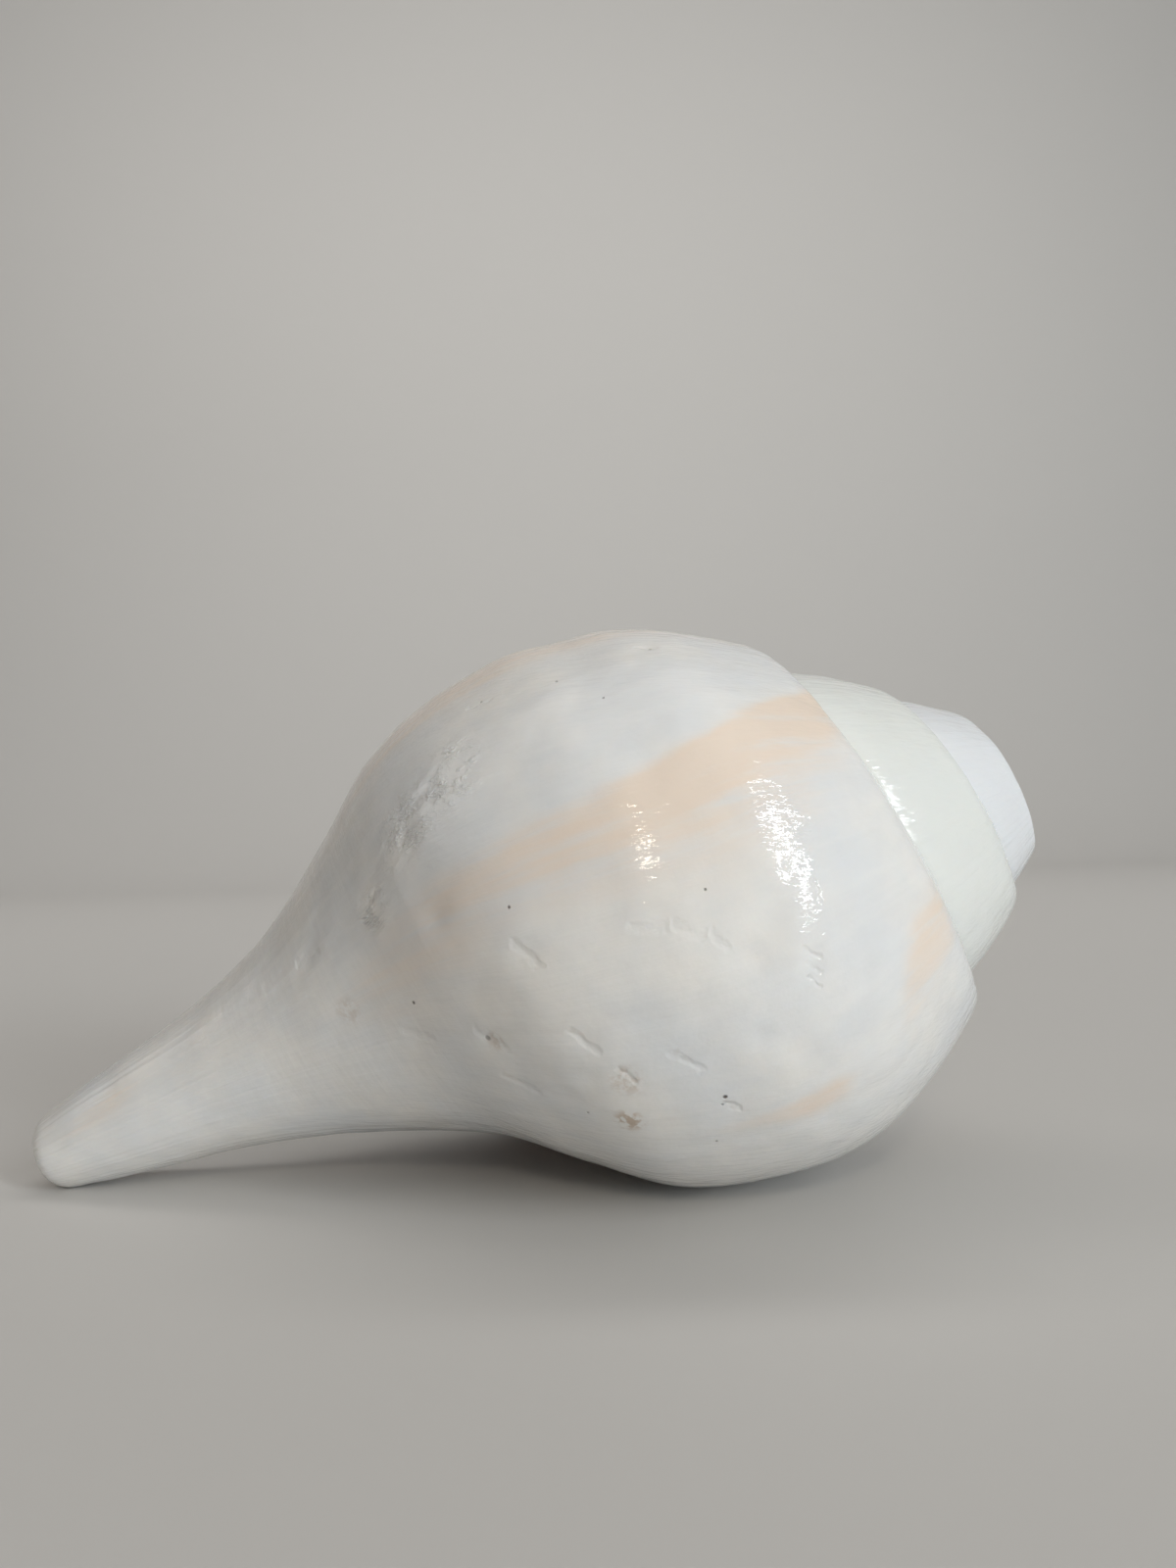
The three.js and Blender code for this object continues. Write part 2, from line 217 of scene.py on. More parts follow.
def shoulder_rows(turns):
    """Rows from each seam out over the ledge and round the shoulder edge, which is a little worn."""
    seam = place(turns, *contour_at_depth(turns + 1, seam_depth(turns)))
    edge = place(turns, *contour(turns, 0))
    below = place(turns, *contour(turns, EDGE_ROUNDING))
    reach = np.linalg.norm(below - edge, axis=1)
    ledge = np.linalg.norm(seam - edge, axis=1)
    above = edge + (seam - edge) * np.minimum(reach / ledge, 0.5)[:, None]
    rows = []
    marks = []
    for step in range(LEDGE_ROWS):
        rows.append(seam + (above - seam) * step / LEDGE_ROWS)
        marks.append(np.full(len(turns), -1 + step / LEDGE_ROWS))
    for step in range(EDGE_ROWS + 1):
        passed = step / EDGE_ROWS
        rows.append(above * (1 - passed) ** 2 + edge * 2 * passed * (1 - passed) + below * passed ** 2)
        marks.append(np.full(len(turns), EDGE_ROUNDING * passed))
    return rows, marks


def quads(index):
    a, b, c, d = index[:-1, :-1], index[:-1, 1:], index[1:, 1:], index[1:, :-1]
    return np.vstack([np.stack([a, b, c], -1).reshape(-1, 3), np.stack([a, c, d], -1).reshape(-1, 3)])


def lip_rounding(turns):
    """How far the outer edge of the lip is drawn in."""
    back = np.clip(1 - np.abs(turns) / LIP_ROUND, 0, 1)
    return LIP_THICKNESS / 2 * (1 - np.sqrt(1 - back ** 2))


def round_lip(grid, turns):
    """Draws the outer edge of the lip in over half its thickness, except on the canal's stem."""
    spin = math.radians(LIP_AZIMUTH)
    reach = np.hypot(grid[..., 0], grid[..., 1])
    pull = lip_rounding(turns)[:, None] * smoothstep(reach, *STEM_REACH)
    grid[..., 0] -= pull * math.cos(spin)
    grid[..., 1] -= pull * math.sin(spin)


def mouth_sheet(lip, wall, band_end):
    """The sheet in the plane of the lip that closes the skin until the hollow removes it."""
    triangles = []
    for row in range(len(lip) - 1):
        near = wall[max(row, band_end)]
        far = wall[max(row + 1, band_end)]
        triangles.append((lip[row], far, lip[row + 1]))
        if near != far:
            triangles.append((lip[row], near, far))
    return np.array(triangles)


# ---- The hollow, the canal and the mouthpiece ----
def wall_at(turns):
    full = LIP_THICKNESS + (WALL - LIP_THICKNESS) * float(smoothstep(turns, 0, LIP_THICKENING))
    return full * float(growth(turns)) ** WALL_POWER - INNER_ROUNDING * float(lip_rounding(turns))


def callus_at(turns):
    if turns < 0:
        return BELLY_CLEARANCE
    return CALLUS * float(smoothstep(turns, CALLUS_START, LIP_THICKENING))


def hollow_at(turns, depth):
    """Outer and inner points of the hollow in the half plane at turns, and the gap between them."""
    depth = np.asarray(depth, float)
    _, outer, outer_back = contour_at_depth(turns, depth)
    _, inner, inner_back = contour_at_depth(turns + 1, depth)
    slope = contour_at_depth(turns, depth + 1)[1] - outer
    outer = outer - wall_at(turns) * np.hypot(1, slope)
    inner = inner + callus_at(turns)
    azimuth = math.radians(LIP_AZIMUTH + 360 * turns)
    gap = outer - inner + (outer_back - inner_back) * math.cos(azimuth)
    return (depth, outer, outer_back), (depth, inner, inner_back), gap


def hollow_section(turns):
    size = float(growth(turns))
    top = float(contour(turns, 0)[0]) + wall_at(turns)
    reach = np.arange(top + HOLLOW_START * size, CONTOUR[-2, 0], size / 4)
    open_so_far = np.cumprod(hollow_at(turns, reach)[2] > NARROWEST_GAP * size)
    bottom = reach[max(int(open_so_far.sum()) - 1, 0)]
    half = HOLLOW_SIDES // 2
    eased = (1 - np.cos(np.pi * np.arange(half) / (half - 1))) / 2
    outer, inner, _ = hollow_at(turns, top + (bottom - top) * eased)
    return np.vstack([place(turns, *outer), place(turns, *inner)[::-1]])


def hollow():
    before = np.linspace(-HOLLOW_RUNOUT, 0, RUNOUT_RINGS + 1)[:-1]
    lip = np.array(LIP_COLUMNS)
    behind = np.arange(lip[-1] + HOLLOW_STEP / 2, HOLLOW_TURNS, HOLLOW_STEP)
    turns = [*before, -LIP_ROUND / 3, *lip, *behind]
    return loft([hollow_section(t) for t in turns])


def canal():
    """The channel inside the stem and the narrower slit that opens it on its lower side."""
    azimuth = math.radians(CANAL_AZIMUTH)
    outward = np.array([math.cos(azimuth), math.sin(azimuth), 0])
    across = np.array([-math.sin(azimuth), math.cos(azimuth), 0])
    stations = np.array(CANAL, float)
    rings = []
    for at in np.linspace(0, 1, CANAL_RINGS):
        depth, floor, half_width = spline(stations, np.array(at))
        _, radius, back = contour_at_depth(0, min(depth, CONTOUR[-3, 0]))
        slit = CANAL_SLIT / 2
        roof = max(radius - CANAL_ROOF, floor + half_width)
        side = [
            (floor, half_width * 0.35),
            (floor + half_width * 0.2, half_width * 0.75),
            (floor + half_width * 0.6, half_width),
            (roof - slit, half_width),
            (roof - slit * 0.4, (half_width + slit) / 2),
            (roof, slit),
            (radius + CANAL_CLEARANCE, slit),
        ]
        ring = side + [(out, -width) for out, width in reversed(side)]
        rings.append([np.array([back, 0, -depth]) + out * outward + width * across for out, width in ring])
    return loft(rings)


def mouthpiece():
    """A funnel with an eased rim in the sawn face, and the bore that leads on into the whorls."""
    profile = [
        (MOUTH_RADIUS + 1.2, SAW_DEPTH - 1),
        (MOUTH_RADIUS + 0.5, SAW_DEPTH),
        (MOUTH_RADIUS, SAW_DEPTH + 0.6),
        (WINDWAY_RADIUS + 0.6, SAW_DEPTH + MOUTH_DEPTH * 0.8),
        (WINDWAY_RADIUS, SAW_DEPTH + MOUTH_DEPTH * 1.1),
        (WINDWAY_RADIUS, SAW_DEPTH + WINDWAY_DEPTH),
    ]
    angles = np.linspace(0, 2 * np.pi, MOUTH_SIDES, endpoint=False)
    rings = [
        np.stack([radius * np.cos(angles), radius * np.sin(angles), np.full(MOUTH_SIDES, -float(depth))], -1)
        for radius, depth in profile
    ]
    return loft(rings)


def loft(rings):
    """Points and triangles of a closed skin through rings of equally many points."""
    rings = np.array(rings)
    count, sides = rings.shape[:2]
    index = np.arange(count * sides).reshape(count, sides)
    triangles = [quads(np.hstack([index, index[:, :1]]))]
    centres = rings[[0, -1]].mean(1)
    for ring, centre, flip in ((index[0], count * sides, 1), (index[-1], count * sides + 1, 0)):
        following = np.roll(ring, -1)
        pair = (following, ring) if flip else (ring, following)
        triangles.append(np.stack([*pair, np.full(sides, centre)], -1)[:, ::-1])
    return np.vstack([rings.reshape(-1, 3), centres]), np.vstack(triangles)


# ---- Wear and colour, placed in turns behind the lip and along the contour ----
# Peach colouring lies in growth bands: along, turns, spread lipward, spread spireward, strength. The fifth
# band is not peach but painted warm shade, in the hollow where the body turns into the canal.
PEACH_AND_SHADE_BANDS = (
    ((0, 0.492, 0.008, 0.034, 1), (0.05, 0.498, 0.008, 0.038, 1.1), (0.10, 0.508, 0.008, 0.046, 1.1),
     (0.15, 0.519, 0.008, 0.052, 1.05), (0.20, 0.531, 0.008, 0.050, 1), (0.30, 0.541, 0.009, 0.044, 0.95),
     (0.38, 0.548, 0.010, 0.036, 0.8), (0.46, 0.557, 0.014, 0.026, 0.5), (0.56, 0.580, 0.025, 0.03, 0.1),
     (0.64, 0.600, 0.03, 0.03, 0)),
    ((0, 0.655, 0.014, 0.026, 0.45), (0.05, 0.660, 0.016, 0.034, 0.75), (0.10, 0.668, 0.018, 0.036, 0.7),
     (0.14, 0.690, 0.016, 0.026, 0.5), (0.19, 0.720, 0.020, 0.025, 0)),
    ((0.24, 0.710, 0.005, 0.007, 0), (0.28, 0.711, 0.006, 0.011, 0.7), (0.32, 0.713, 0.007, 0.013, 0.7),
     (0.36, 0.714, 0.006, 0.009, 0.4), (0.42, 0.716, 0.005, 0.007, 0)),
    ((0.03, 0.420, 0.05, 0.015, 0.15), (0.15, 0.412, 0.05, 0.018, 0.5), (0.33, 0.410, 0.05, 0.022, 0.8),
     (0.45, 0.425, 0.05, 0.022, 0.6), (0.60, 0.440, 0.04, 0.025, 0)),
    # Painted warm shade, in the hollow where the body turns into the canal.
    ((0.42, 0.575, 0.03, 0.04, 0), (0.48, 0.590, 0.04, 0.045, 0.2), (0.56, 0.600, 0.05, 0.045, 0.3),
     (0.65, 0.615, 0.03, 0.02, 0)),
    ((0.74, 0.52, 0.05, 0.05, 0), (0.79, 0.55, 0.05, 0.05, 0.5), (0.84, 0.58, 0.05, 0.04, 0.35),
     (0.89, 0.60, 0.05, 0.05, 0)),
    ((0, 0.250, 0.010, 0.028, 0.7), (0.12, 0.262, 0.010, 0.032, 0.8), (0.30, 0.280, 0.012, 0.026, 0.6),
     (0.48, 0.290, 0.015, 0.025, 0)),
    ((0.10, 0.105, 0.010, 0.020, 0.4), (0.25, 0.110, 0.010, 0.022, 0.6), (0.45, 0.120, 0.012, 0.022, 0)),
    ((0.05, 0.900, 0.008, 0.022, 0.7), (0.20, 0.915, 0.008, 0.026, 0.6), (0.40, 0.930, 0.010, 0.02, 0)),
)
# Dents: turns, along, radius, depth.
DENTS = (
    (0.647, 0.427, 1.8, 0.35), (0.667, 0.381, 1.3, 0.25), (0.599, 0.433, 2.2, 0.35),
    (0.645, 0.500, 1.6, 0.50), (0.668, 0.415, 1.4, 0.30), (0.640, 0.230, 1.5, 0.28),
    (0.648, 0.240, 1.8, 0.25), (0.665, 0.325, 1.3, 0.25), (0.530, 0.540, 1.9, 0.40),
    (0.545, 0.548, 1.4, 0.35), (0.678, 0.500, 2.0, 0.25), (0.700, 0.372, 1.3, 0.22),
    (0.640, 0.560, 2.2, 0.30), (0.600, 0.350, 2.2, 0.20), (0.448, 0.200, 1.5, 0.22),
    (0.528, 0.610, 1.8, 0.35),
)
# Pits and specks: turns, along, radius, darkness.
PITS = (
    (0.692, 0.373, 0.42, 0.9), (0.697, 0.377, 0.26, 0.5), (0.614, 0.548, 0.36, 0.8),
    (0.645, 0.502, 0.6, 0.5), (0.463, 0.322, 0.34, 0.4), (0.452, 0.384, 0.32, 0.4),
    (0.486, 0.290, 0.24, 0.5), (0.594, 0.302, 0.24, 0.6), (0.724, 0.392, 0.26, 0.5),
    (0.450, 0.197, 0.34, 0.4), (0.575, 0.427, 0.30, 0.7), (0.694, 0.456, 0.30, 0.4),
    (0.230, 0.210, 0.40, 0.7), (0.145, 0.330, 0.30, 0.6), (0.820, 0.300, 0.34, 0.7),
    (0.930, 0.180, 0.28, 0.5),
)
# Rusty stains: turns, along, radius, strength of the colour.
STAINS = (
    (0.698, 0.430, 2.8, 0.65), (0.672, 0.417, 3.4, 0.30),
    (0.646, 0.498, 2.0, 0.30), (0.600, 0.600, 3.0, 0.22),
)
# Scratches and gouges: turns, along, their length in turns and in along, width.
GOUGES = (
    (0.640, 0.230, 0.008, -0.010, 0.6), (0.646, 0.238, 0.008, -0.010, 0.6),
    (0.652, 0.246, 0.007, -0.009, 0.5), (0.667, 0.381, 0.011, -0.010, 1.0),
    (0.647, 0.427, 0.012, -0.008, 1.0), (0.668, 0.415, 0.008, -0.006, 0.8),
    (0.599, 0.433, 0.012, -0.010, 1.2), (0.645, 0.500, 0.012, -0.012, 1.4),
    (0.530, 0.540, 0.004, -0.020, 1.0), (0.545, 0.548, 0.006, -0.016, 1.0),
    (0.700, 0.372, 0.007, -0.006, 0.7), (0.602, 0.360, 0.004, -0.020, 1.2),
    (0.608, 0.335, 0.008, -0.014, 1.2), (0.617, 0.316, 0.008, -0.004, 1.0),
    (0.615, 0.190, -0.008, -0.006, 0.9), (0.448, 0.200, 0.004, -0.016, 0.8),
    (0.528, 0.610, 0.008, -0.018, 1.0), (0.640, 0.560, 0.010, -0.020, 1.1),
    (0.678, 0.500, 0.010, -0.018, 1.1), (0.455, 0.385, 0.004, -0.014, 0.7),
    (0.200, 0.300, 0.010, -0.014, 0.9), (0.100, 0.200, 0.008, -0.012, 0.8),
    (0.900, 0.350, 0.010, -0.014, 0.9), (0.830, 0.220, 0.008, -0.012, 0.8),
    (0.330, 0.400, 0.008, -0.018, 0.9),
)
# Crinkled, unpolished patches: turns, along, radius.
ETCHED = ((0.495, 0.425, 7.0), (0.510, 0.480, 6.5), (0.540, 0.540, 4.0))
ETCHED_HEIGHT = 0.30
ETCHED_CRINKLES = (170, 45)   # crinkles in a turn, and along the contour
RANDOM_DENTS = 90
DENT_SEED = 7
UNEVENNESS = ((0.18, 17, 1), (0.12, 6, 2))   # height, size across and octaves
WAVE_HEIGHT = 0.05
WAVES = (130, 3)           # growth waves in a turn, and along the contour
# Peach of the growth bands, also used for the band of painted warm shade.
PEACH_AND_SHADE_TINT = (0.85, 0.715, 0.60, 1)
RUST = (0.40, 0.25, 0.13, 1)
PIT_COLOUR = (0.09, 0.07, 0.055, 1)


def surface_point(turns, along):
    return place(turns, *contour(turns, along))


def vertex_normals(points, triangles):
    corners = points[triangles]
    face = np.cross(corners[:, 1] - corners[:, 0], corners[:, 2] - corners[:, 0])
    total = np.zeros_like(points)
    for corner in range(3):
        np.add.at(total, triangles[:, corner], face)
    length = np.linalg.norm(total, axis=1, keepdims=True)
    normals = total / np.maximum(length, 1e-12)
    outward = np.sum(normals * points * (1, 1, 0))
    return normals if outward > 0 else -normals


def noise_at(points, scale, octaves=1):
    """Smooth noise from -1 to 1, with features about scale across."""
    scaled = points / scale
    if octaves == 1:
        return np.array([noise.noise(Vector(p)) for p in scaled])
    return np.array([noise.fractal(Vector(p), 1.0, 2.0, octaves) for p in scaled])


def with_relief(points, triangles, mark):
    """The polished surface isn't quite even: growth waves, hand-worked unevenness, dents and etching."""
    turns, along = mark.T
    normals = vertex_normals(points, triangles)
    height = sum(high * noise_at(points, size, octaves) for high, size, octaves in UNEVENNESS)
    waves = np.stack([turns * WAVES[0], along * WAVES[1], np.zeros_like(turns)], -1)
    height += WAVE_HEIGHT * noise_at(waves, 1, octaves=3) * smoothstep(along, 0, 0.05)
    height += etching(points, turns, along)
    random = np.random.default_rng(DENT_SEED)
    scattered = np.stack([
        random.uniform(0.02, 0.98, RANDOM_DENTS), random.uniform(0.06, 0.62, RANDOM_DENTS),
        random.uniform(1.0, 2.4, RANDOM_DENTS), random.uniform(0.08, 0.24, RANDOM_DENTS),
    ], -1)
    for dent_turns, dent_along, radius, depth in [*DENTS, *scattered]:
        away = np.linalg.norm(points - surface_point(dent_turns, dent_along), axis=1) / radius
        height -= depth * np.exp(-away ** 2)
    return points + normals * height[:, None]


def etching(points, turns, along):
    """Short crinkles running down the whorl, where the surface was never polished smooth."""
    height = np.zeros(len(points))
    for patch_turns, patch_along, radius in ETCHED:
        away = np.linalg.norm(points - surface_point(patch_turns, patch_along), axis=1) / radius
        weight = np.exp(-away ** 4)
        near = weight > 0.01
        per_turn, per_contour = ETCHED_CRINKLES
        stretched = np.stack([turns[near] * per_turn, along[near] * per_contour, np.zeros(near.sum())], -1)
        crinkles = 1 - 2 * np.abs(noise_at(stretched, 1, octaves=2))
        height[near] += ETCHED_HEIGHT * weight[near] * crinkles
    return height


def peach_and_shade_at(turns, along):
    """Strength of the peach colouring and of the painted warm shade, from 0 to 1: each band fades on both
    sides of its middle line.
    """
    total = np.zeros_like(turns)
    for band in PEACH_AND_SHADE_BANDS:
        position, centre, lipward, spireward, strength = np.array(band).T
        offset = turns - np.interp(along, position, centre)
        spread_lipward = np.interp(along, position, lipward)
        spread_spireward = np.interp(along, position, spireward)
        spread = np.where(offset < 0, spread_lipward, spread_spireward)
        total += np.interp(along, position, strength, left=0, right=0) * np.exp(-(offset / spread) ** 2)
    return np.clip(total, 0, 1)


# ---- Meshes ----
def compact(points, triangles, mark, alias):
    """Drops aliased points and the triangles that they flatten."""
    triangles = alias[triangles]
    a, b, c = triangles.T
    triangles = triangles[(a != b) & (b != c) & (c != a)]
    used, triangles = np.unique(triangles, return_inverse=True)
    return points[used], triangles.reshape(-1, 3), mark[used]


def outside_skin():
    """The outer skin with coincident points joined: seams, the canal's end and the stem's closing line."""
    turns, per_turn = column_turns()
    points, triangles, mark = outside()
    rows = (len(points) - 1) // len(turns)
    index = np.arange(len(turns) * rows).reshape(-1, rows)
    band_end = LEDGE_ROWS + EDGE_ROWS + BAND_ROWS
    alias = np.arange(len(points))
    alias[index[:-per_turn, 0]] = index[per_turn:, band_end]
    together = np.linalg.norm(points[index[0]] - points[index[per_turn]], axis=1) < JOIN_DISTANCE
    alias[index[0][together]] = index[per_turn][together]
    alias[index[:, -1]] = index[per_turn, -1]
    return compact(points, triangles, mark, alias)


def mesh_object(name, points, triangles):
    mesh = bpy.data.meshes.new(name)
    mesh.from_pydata(points.tolist(), [], triangles.tolist())
    mesh.update()
    obj = bpy.data.objects.new(name, mesh)
    bpy.context.scene.collection.objects.link(obj)
    bpy.context.view_layer.objects.active = obj
    bpy.ops.object.mode_set(mode="EDIT")
    bpy.ops.mesh.select_all(action="SELECT")
    bpy.ops.mesh.normals_make_consistent(inside=False)
    bpy.ops.object.mode_set(mode="OBJECT")
    return obj


def saw_block():
    sides = (-SAW_REACH, SAW_REACH)
    points = np.array([(x, y, z) for x in sides for y in sides for z in (-SAW_DEPTH, SAW_HEIGHT)], float)
    faces = [(0, 1, 3, 2), (4, 6, 7, 5), (0, 4, 5, 1), (2, 3, 7, 6), (0, 2, 6, 4), (1, 5, 7, 3)]
    triangles = np.array([t for a, b, c, d in faces for t in ((a, b, c), (a, c, d))])
    return points, triangles


def subtract(obj, name, points, triangles):
    cutter = mesh_object(name, points, triangles)
    cut = obj.modifiers.new(name, "BOOLEAN")
    cut.operation = "DIFFERENCE"
    cut.solver = "MANIFOLD"
    cut.object = cutter
    bpy.context.view_layer.objects.active = obj
    bpy.ops.object.modifier_apply(modifier=cut.name)
    bpy.data.objects.remove(cutter)


def lay_down(obj, low, high):
    """Turns the shell into its resting pose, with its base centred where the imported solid's is."""
    rise = math.radians(AXIS_RISE)
    spireward = Vector((math.cos(rise), 0, math.sin(rise)))
    backward = Vector((-math.sin(rise), 0, math.cos(rise)))
    sideward = spireward.cross(backward)
    turn = Matrix((backward, sideward, spireward)).transposed()
    turn = turn.to_4x4() @ Matrix.Rotation(math.radians(AXIS_SPIN), 4, "Z") @ Matrix.Scale(MM, 4)
    obj.data.transform(turn)
    points = np.array([v.co for v in obj.data.vertices])
    own_low, own_high = points.min(0), points.max(0)
    middle = (np.array(low) + np.array(high) - own_low - own_high) / 2
    obj.data.transform(Matrix.Translation((middle[0], middle[1], low[2] - own_low[2])))


def mark_surface(obj, skin_points, skin_mark, hollow_points):
    """Stores turns, along, the peach colouring with its band of painted warm shade, and inside on every
    point.

    They come from the nearest point of the skin or the cutter that the point was made from.
    """
    sources = np.vstack([skin_points, hollow_points])
    tree = kdtree.KDTree(len(sources))
    for i, point in enumerate(sources):
        tree.insert(point, i)
    tree.balance()
    nearest = np.array([tree.find(v.co)[1] for v in obj.data.vertices])
    inside = (nearest >= len(skin_points)).astype(float)
    mark = skin_mark[np.minimum(nearest, len(skin_points) - 1)]
    turns = mark[:, 0] * (1 - inside)
    along = mark[:, 1]
    # Peach bands, and one band of painted warm shade where the body turns into the canal.
    peach_and_shade = peach_and_shade_at(turns, along) * (1 - inside)
    values = {"turns": turns, "along": along, "inside": inside, "peach_and_shade": peach_and_shade}
    for name, value in values.items():
        layer = obj.data.attributes.new(name, "FLOAT", "POINT")
        layer.data.foreach_set("value", value.astype(np.float32))


def shell(low, high):
    points, triangles, mark = outside_skin()
    worked = with_relief(points, triangles, mark)
    obj = mesh_object("shell_surface", worked, triangles)
    hollow_points, hollow_triangles = hollow()
    subtract(obj, "hollow", hollow_points, hollow_triangles)
    canal_points, canal_triangles = canal()
    subtract(obj, "canal", canal_points, canal_triangles)
    subtract(obj, "saw", *saw_block())
    mouth_points, mouth_triangles = mouthpiece()
    subtract(obj, "mouthpiece", mouth_points, mouth_triangles)
    rim, bore = np.split(mouth_points, [MOUTH_RIM_RINGS * MOUTH_SIDES])
    rim_mark = np.full((len(rim), 2), (SPIRE_TURNS, 0.0))
    outer = np.vstack([worked, rim]), np.vstack([mark, rim_mark])
    mark_surface(obj, *outer, np.vstack([hollow_points, canal_points, bore]))
    lay_down(obj, low, high)
    obj.data.shade_smooth()
    obj.data.set_sharp_from_angle(angle=math.radians(SHARP_ANGLE))
    return obj


# ---- Material ----
COOL_WHITE = (0.77, 0.785, 0.80, 1)
WARM_WHITE = (0.86, 0.84, 0.805, 1)
GREY_CLOUD = (0.72, 0.725, 0.73, 1)
GROWTH_WHITE = (0.87, 0.865, 0.85, 1)
SECOND_WHORL = (0.80, 0.825, 0.80, 1)
THIRD_WHORL = (0.79, 0.81, 0.85, 1)
LINING_DEEP = (0.80, 0.45, 0.30, 1)
LINING_PALE = (0.84, 0.60, 0.45, 1)

# Heights of the fine relief, in metres.
GROWTH_RELIEF = 0.00014
CLOUD_RELIEF = 0.00012
STREAK_RELIEF = 0.00005
CRINKLE_RELIEF = 0.0011
GOUGE_RELIEF = -0.00010
PIT_RELIEF = -0.0003
SCRATCH_RELIEF = 0.00014
GOUGE_WANDER = 0.0018      # how far the noise bends a gouge

# Noise cells in a turn and along the contour, for patterns that follow the growth of the shell.
GROWTH_CELLS = (90.0, 5.0)
STREAK_CELLS = (14.0, 260.0)
CRINKLE_CELLS = (330.0, 75.0)


class Nodes:
    """Short calls for building one material's node tree."""

    def __init__(self, name):
        self.material = bpy.data.materials.new(name)
        self.material.use_nodes = True
        self.tree = self.material.node_tree
        self.shader = self.tree.nodes["Principled BSDF"]

    def put(self, socket, value):
        if isinstance(value, bpy.types.NodeSocket):
            self.tree.links.new(value, socket)
        else:
            socket.default_value = value

    def add(self, kind, inputs, output=0, **settings):
        node = self.tree.nodes.new(kind)
        for key, value in settings.items():
            setattr(node, key, value)
        for key, value in inputs.items():
            self.put(node.inputs[key], value)
        return node.outputs[output]

    def attribute(self, name):
        return self.add("ShaderNodeAttribute", {}, "Fac", attribute_name=name)

    def math(self, operation, *values):
        return self.add("ShaderNodeMath", dict(enumerate(values)), operation=operation)

    def ramp(self, value, low, high, to_low=0.0, to_high=1.0):
        inputs = {"Value": value, 1: low, 2: high, 3: to_low, 4: to_high}
        return self.add("ShaderNodeMapRange", inputs, interpolation_type="SMOOTHSTEP")

    def noise(self, vector, scale, detail=2.0, roughness=0.5):
        inputs = {"Vector": vector, "Scale": scale, "Detail": detail, "Roughness": roughness}
        return self.add("ShaderNodeTexNoise", inputs, "Fac")

    def mix(self, factor, a, b):
        inputs = {0: factor, 6: a, 7: b}
        return self.add("ShaderNodeMix", inputs, 2, data_type="RGBA")

    def bump(self, height, distance, strength=1.0, normal=None):
        inputs = {"Height": height, "Distance": distance, "Strength": strength}
        if normal is not None:
            inputs["Normal"] = normal
        return self.add("ShaderNodeBump", inputs)

    def vector(self, operation, *values, output=0):
        return self.add("ShaderNodeVectorMath", dict(enumerate(values)), output, operation=operation)

    def on_shell(self, cells):
        """Coordinates that count cells in a turn and along the contour."""
        turns = self.math("MULTIPLY", self.attribute("turns"), cells[0])
        along = self.math("MULTIPLY", self.attribute("along"), cells[1])
        return self.add("ShaderNodeCombineXYZ", {"X": turns, "Y": along})

    def near_line(self, position, start, end, width):
        """1 on the line from start to end, falling to 0 at width from it."""
        line = Vector(end) - Vector(start)
        from_start = self.vector("SUBTRACT", position, tuple(start))
        share = self.vector("DOT_PRODUCT", from_start, tuple(line / line.length_squared), output="Value")
        share = self.add("ShaderNodeClamp", {"Value": share})
        foot = self.add("ShaderNodeVectorMath", {0: tuple(line), "Scale": share}, operation="SCALE")
        away = self.vector("DISTANCE", from_start, foot, output="Value")
        return self.ramp(away, width, 0.0)

    def near(self, position, centre, inner, outer):
        """1 within inner of the centre, falling to 0 at outer."""
        away = self.vector("DISTANCE", position, tuple(centre), output="Value")
        return self.ramp(away, outer, inner)


def porcelain(place_mark):
    """Polished shell: white, mottled, with peach growth bands and a band of painted warm shade, stains, pits
    and a peach inside.
    """
    nodes = Nodes("polished_shell")
    position = nodes.add("ShaderNodeTexCoord", {}, "Object")
    turns = nodes.attribute("turns")
    cloud = nodes.noise(position, scale=45.0, detail=3.0, roughness=0.55)
    fine_cloud = nodes.noise(position, scale=190.0, detail=4.0, roughness=0.6)
    growth_lines = nodes.noise(nodes.on_shell(GROWTH_CELLS), scale=1.0, detail=4.0, roughness=0.6)

    colour = white(nodes, turns, cloud, fine_cloud, growth_lines)
    grain = nodes.math("ADD", nodes.math("MULTIPLY", growth_lines, 0.9), nodes.math("MULTIPLY", cloud, 0.5))
    # Peach bands, and one band of painted warm shade where the body turns into the canal.
    peach_and_shade = nodes.math("MULTIPLY", nodes.attribute("peach_and_shade"), nodes.ramp(grain, 0.42, 0.88, 0.4, 1.15))
    colour = nodes.mix(nodes.ramp(peach_and_shade, 0.05, 0.9, 0.0, 0.9), colour, PEACH_AND_SHADE_TINT)
    colour, pits = stains_and_pits(nodes, place_mark, position, colour)
    lining = nodes.mix(nodes.noise(position, scale=30.0), LINING_DEEP, LINING_PALE)
    colour = nodes.mix(nodes.attribute("inside"), colour, lining)

    shader = nodes.shader
    nodes.put(shader.inputs["Base Color"], colour)
    nodes.put(shader.inputs["Roughness"], nodes.ramp(fine_cloud, 0.3, 0.75, 0.38, 0.52))
    nodes.put(shader.inputs["Specular IOR Level"], 0.3)
    relief, polish = fine_relief(nodes, place_mark, position, fine_cloud, growth_lines, pits)
    nodes.put(shader.inputs["Normal"], relief)
    nodes.put(shader.inputs["Coat Normal"], polish)
    nodes.put(shader.inputs["Subsurface Weight"], 0.12)
    nodes.put(shader.inputs["Subsurface Radius"], (1.0, 0.7, 0.5))
    nodes.put(shader.inputs["Subsurface Scale"], 0.003)
    nodes.put(shader.inputs["Coat Weight"], 0.8)
    nodes.put(shader.inputs["Coat Roughness"], 0.045)
    return nodes.material


